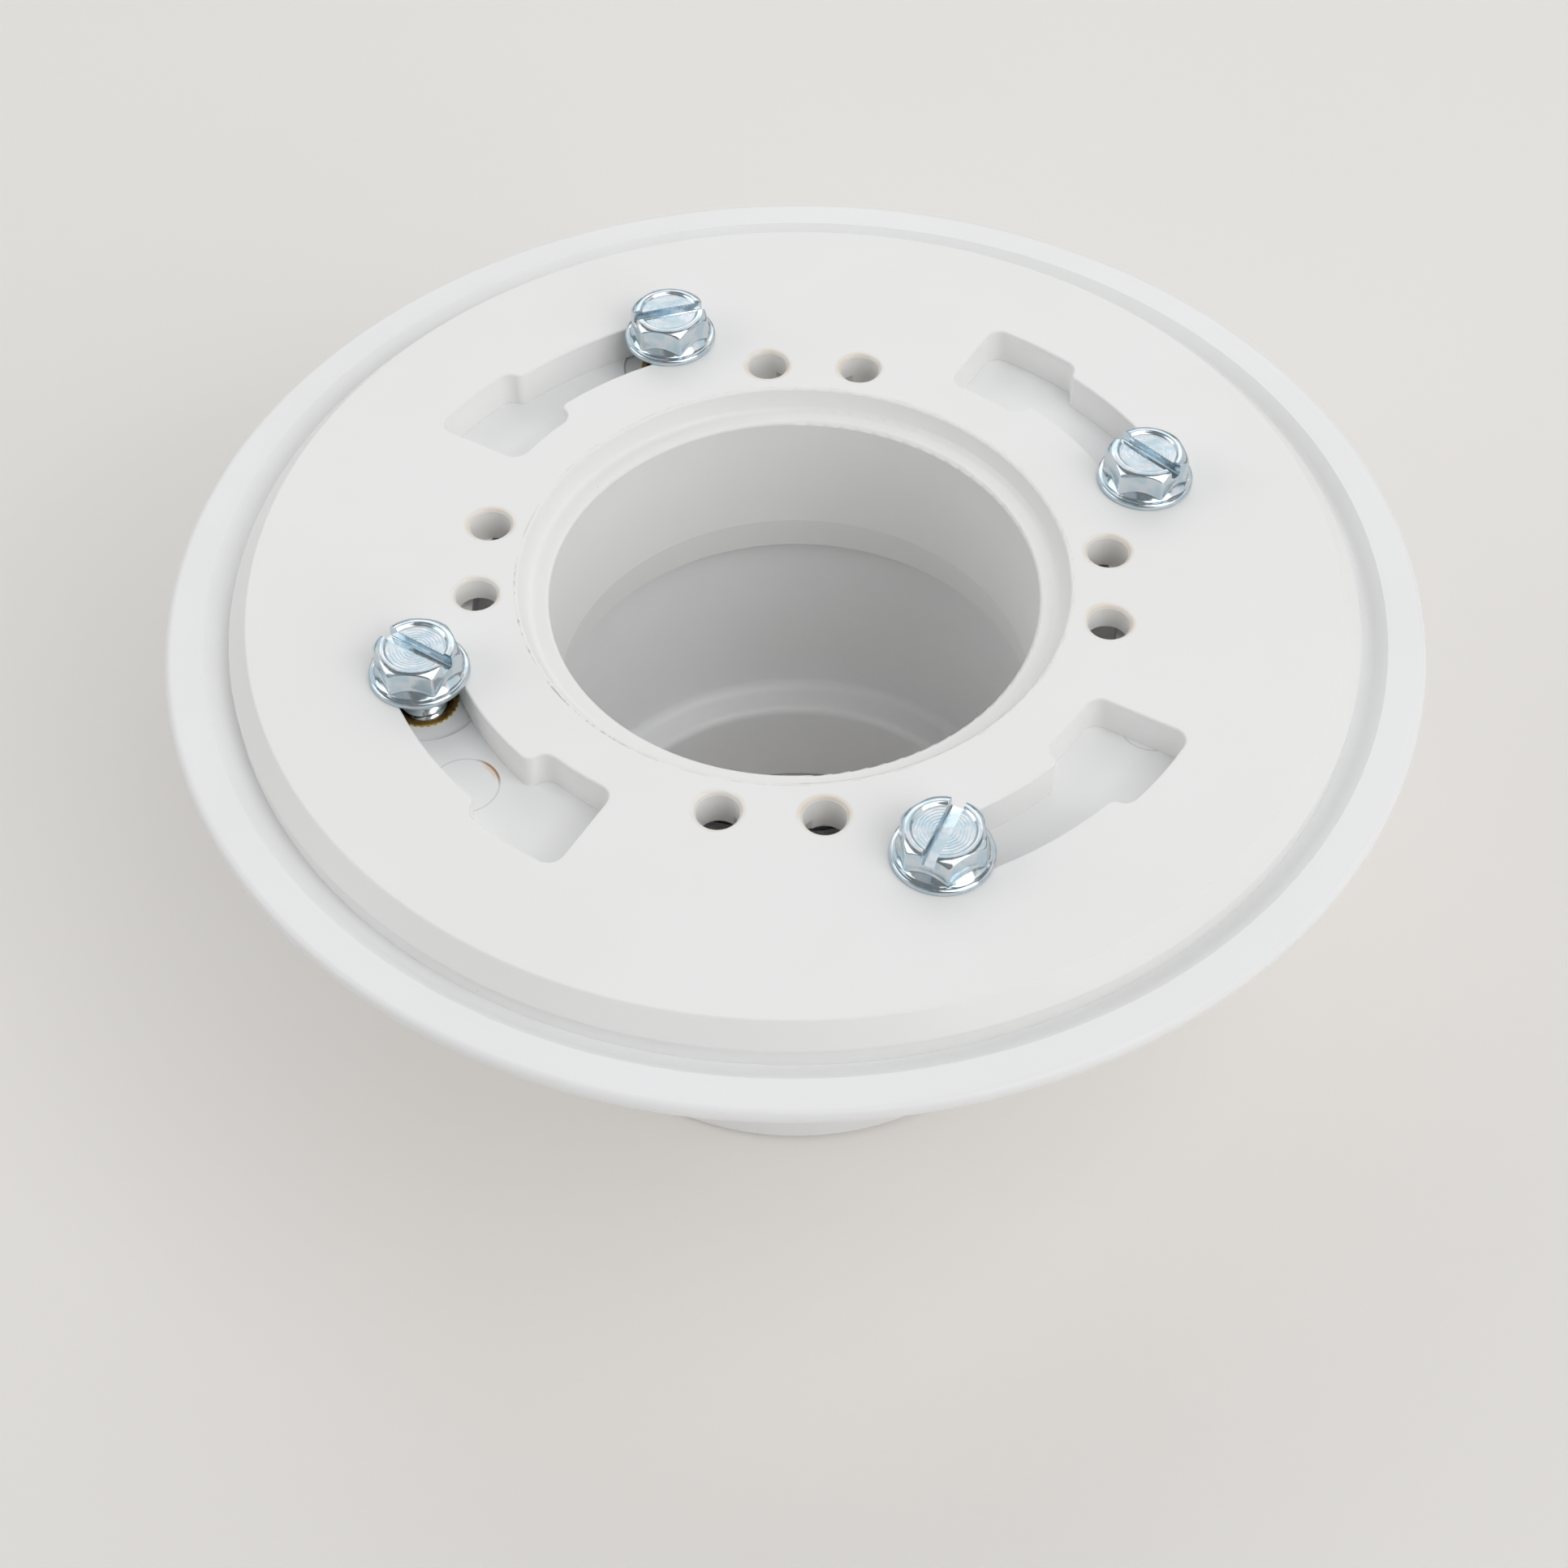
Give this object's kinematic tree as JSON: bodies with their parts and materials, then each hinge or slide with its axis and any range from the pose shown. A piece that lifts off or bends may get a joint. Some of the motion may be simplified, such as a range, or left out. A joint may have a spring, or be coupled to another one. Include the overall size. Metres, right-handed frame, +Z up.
{
  "type": "shower drain flange",
  "caption": "Dished white plastic drain base with a throat and hub, and a bevelled clamping ring held by slotted hex washer bolts in keyhole slots.",
  "frame": {"origin": "on the drain's axis at the lower end of the hub", "axes": "+Z up along the drain's axis, from the outlet towards the clamping ring; the bolts stand at 19.8 degrees from +X and every 90 degrees after"},
  "size_m": [0.166, 0.166, 0.082],
  "materials": {
    "base_pvc": "satin injection-moulded white PVC",
    "ring_pvc": "satin injection-moulded white PVC",
    "brass": "dull knurled brass",
    "zinc_plate": "bright zinc plate over steel"
  },
  "bodies": {
    "base": {"drain_base": "base_pvc", "insert_right": "brass", "insert_rear": "brass", "insert_left": "brass", "insert_front": "brass"},
    "ring": {"clamping_ring": "ring_pvc"},
    "screw_right": {"bolt_right": "zinc_plate"},
    "screw_rear": {"bolt_rear": "zinc_plate"},
    "screw_left": {"bolt_left": "zinc_plate"},
    "screw_front": {"bolt_front": "zinc_plate"}
  },
  "joints": [
    {"name": "ring_turn", "type": "hinge", "parent": "base", "child": "ring", "pos_m": [0, 0, 0.0745], "axis": [0, 0, 1], "range_deg": [-31.9, 0]},
    {"name": "bolt_right_lift", "type": "slide", "parent": "base", "child": "screw_right", "axis": [0, 0, 1], "range_m": [0, 0.0103]},
    {"name": "bolt_rear_lift", "type": "slide", "parent": "base", "child": "screw_rear", "axis": [0, 0, 1], "range_m": [0, 0.0103]},
    {"name": "bolt_left_lift", "type": "slide", "parent": "base", "child": "screw_left", "axis": [0, 0, 1], "range_m": [0, 0.0103]},
    {"name": "bolt_front_lift", "type": "slide", "parent": "base", "child": "screw_front", "axis": [0, 0, 1], "range_m": [0, 0.0103]}
  ]
}
